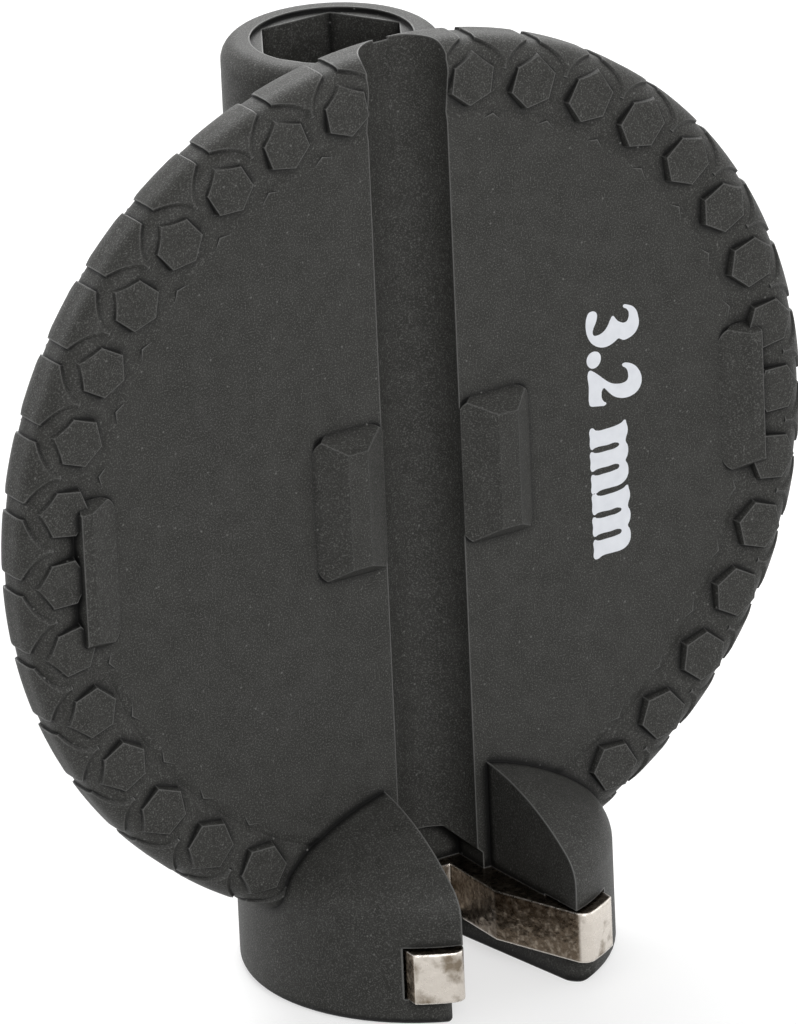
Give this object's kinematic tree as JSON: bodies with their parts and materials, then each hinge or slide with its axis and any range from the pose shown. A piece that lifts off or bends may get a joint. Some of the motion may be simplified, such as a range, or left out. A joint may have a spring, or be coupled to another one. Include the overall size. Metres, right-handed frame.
{
  "type": "spoke wrench",
  "caption": "Disc-shaped plastic spoke wrench with a steel nipple jaw in a slotted boss, a hexagon socket and a honeycomb grip rim.",
  "frame": {"origin": "centre of the end face of the slotted boss, on the boss's axis, in the mouth of the jaw's slot", "axes": "+Z from the jaw end to the top of the disc, along the spoke channel; -Y out of the jaw's opening and the face with the channel; +X to the right seen from that face"},
  "size_m": [0.047, 0.0208, 0.05],
  "materials": {
    "plastic": "fine grained black moulding",
    "steel": "nickel plated, slightly uneven"
  },
  "bodies": {
    "root": {"body": "plastic", "jaw_insert": "steel"}
  },
  "joints": []
}
